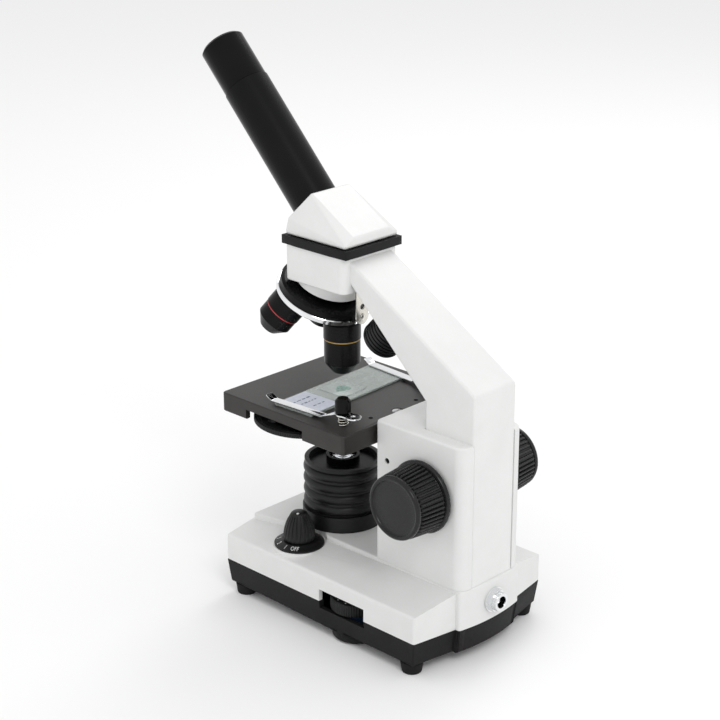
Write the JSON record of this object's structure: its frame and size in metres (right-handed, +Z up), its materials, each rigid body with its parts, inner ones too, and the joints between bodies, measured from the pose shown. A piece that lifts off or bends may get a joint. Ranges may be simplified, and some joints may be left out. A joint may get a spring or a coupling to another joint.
{
  "type": "compound microscope",
  "caption": "Monocular student microscope: slanted arm on a box base, triple turret, clip stage on rack focus, disc diaphragm, lamps above and below.",
  "frame": {"origin": "centre of the footprint of the whole part, on the plane its feet stand on", "axes": "+Z up along the optical axis; +Y towards the arm and the power inlet, so the eyepiece leans to -Y; +X to the right of a user sitting behind the arm"},
  "size_m": [0.098, 0.2082, 0.2939],
  "materials": {
    "white_enamel": "satin",
    "white_plastic": "satin",
    "black_plastic": "matte",
    "black_gloss": "gloss",
    "black_enamel": "satin",
    "black_anodised": "satin",
    "rubber": "matte",
    "steel": "satin",
    "chrome": "polished",
    "brass": "satin",
    "clear_glass": "gloss",
    "led_board": "satin",
    "circuit_green": "gloss",
    "blue_plastic": "satin"
  },
  "bodies": {
    "stand": {"base_shell": "white_plastic", "bottom_tray": "black_plastic", "foot_front_right": "rubber", "foot_front_left": "rubber", "foot_back_right": "rubber", "foot_back_left": "rubber", "tray_screws": "steel", "arm_bolts": "steel", "arm": "white_enamel", "gearbox_cover": "white_plastic", "cover_screws": "steel", "shaft_bushes": "brass", "guide_rails": "steel", "lamp_housing": "black_plastic", "lamp_ring": "black_gloss", "lamp_lens": "clear_glass", "lamp_led": "led_board", "upper_lamp_housing": "black_plastic", "upper_lamp_lens": "clear_glass", "upper_lamp_led": "led_board", "selector_dial": "black_plastic", "selector_switch": "black_gloss", "brightness_pot": "blue_plastic", "circuit_board": "circuit_green", "dc_jack": "chrome", "jack_nut": "chrome", "turret_bolt": "steel", "click_spring": "steel", "head_gasket": "black_plastic"},
    "focus": {"focus_shaft": "steel", "pinion": "brass", "focus_knob_right": "black_plastic", "focus_knob_left": "black_plastic"},
    "stage": {"stage_plate": "black_enamel", "stage_screws": "steel", "stage_carriage": "black_anodised", "rack": "brass", "diaphragm_pivot": "steel", "clip_knob_right": "black_gloss", "clip_knob_left": "black_gloss", "clip_spring_right": "steel", "clip_spring_left": "steel"},
    "diaphragm": {"diaphragm_disc": "black_plastic"},
    "right_clip": {"clip_right": "chrome"},
    "left_clip": {"clip_left": "chrome"},
    "slide": {"glass_slide": "clear_glass", "cover_slip": "clear_glass"},
    "nosepiece": {"turret": "black_anodised", "turret_ring": "chrome", "objective_low": "black_anodised", "objective_mid": "black_anodised", "objective_high": "black_anodised", "objective_lenses": "clear_glass"},
    "head": {"head_shell": "white_enamel", "prism": "clear_glass", "eyepiece_tube": "black_anodised"},
    "ocular": {"eyepiece": "black_gloss", "eyepiece_lenses": "clear_glass"},
    "selector": {"selector_knob": "black_plastic"},
    "brightness": {"brightness_wheel": "black_plastic"}
  },
  "joints": [
    {"name": "stage_lift", "type": "slide", "parent": "stand", "child": "stage", "axis": [0, 0, 1], "range_m": [-0.014, 0.003]},
    {"name": "focus_turn", "type": "hinge", "parent": "stand", "child": "focus", "pos_m": [0, 0.0724, 0.087], "axis": [-1, 0, 0], "range_deg": [-134, 29]},
    {"name": "diaphragm_turn", "type": "hinge", "parent": "stage", "child": "diaphragm", "pos_m": [0.0195, -0.0136, 0.1038], "axis": [0, 0, 1], "continuous": true},
    {"name": "right_clip_swing", "type": "hinge", "parent": "stage", "child": "right_clip", "pos_m": [0.0332, 0.0256, 0.1195], "axis": [0, 0, 1], "range_deg": [-6, 40]},
    {"name": "left_clip_swing", "type": "hinge", "parent": "stage", "child": "left_clip", "pos_m": [-0.0332, 0.0256, 0.1195], "axis": [0, 0, 1], "range_deg": [-40, 6]},
    {"name": "slide_shift", "type": "slide", "parent": "stage", "child": "slide", "axis": [0, -1, 0], "range_m": [-0.006, 0.028]},
    {"name": "nosepiece_turn", "type": "hinge", "parent": "stand", "child": "nosepiece", "pos_m": [0, -0.0209, 0.164], "axis": [0, 0.3907, 0.9205], "continuous": true},
    {"name": "head_turn", "type": "hinge", "parent": "stand", "child": "head", "pos_m": [0, -0.0076, 0.2], "axis": [0, 0, 1], "continuous": true},
    {"name": "ocular_pull", "type": "slide", "parent": "head", "child": "ocular", "axis": [0, -0.6909, 0.723], "range_m": [0, 0.018]},
    {"name": "selector_turn", "type": "hinge", "parent": "stand", "child": "selector", "pos_m": [0.0333, -0.0074, 0.045], "axis": [0, 0, -1], "range_deg": [0, 90]},
    {"name": "brightness_turn", "type": "hinge", "parent": "stand", "child": "brightness", "pos_m": [0.0345, 0.0368, 0.02], "axis": [0, 0, 1], "range_deg": [0, 270]}
  ],
  "couplings": [
    {"joint": "focus_turn", "follows": "stage_lift", "rad_per_m": 166.67}
  ]
}
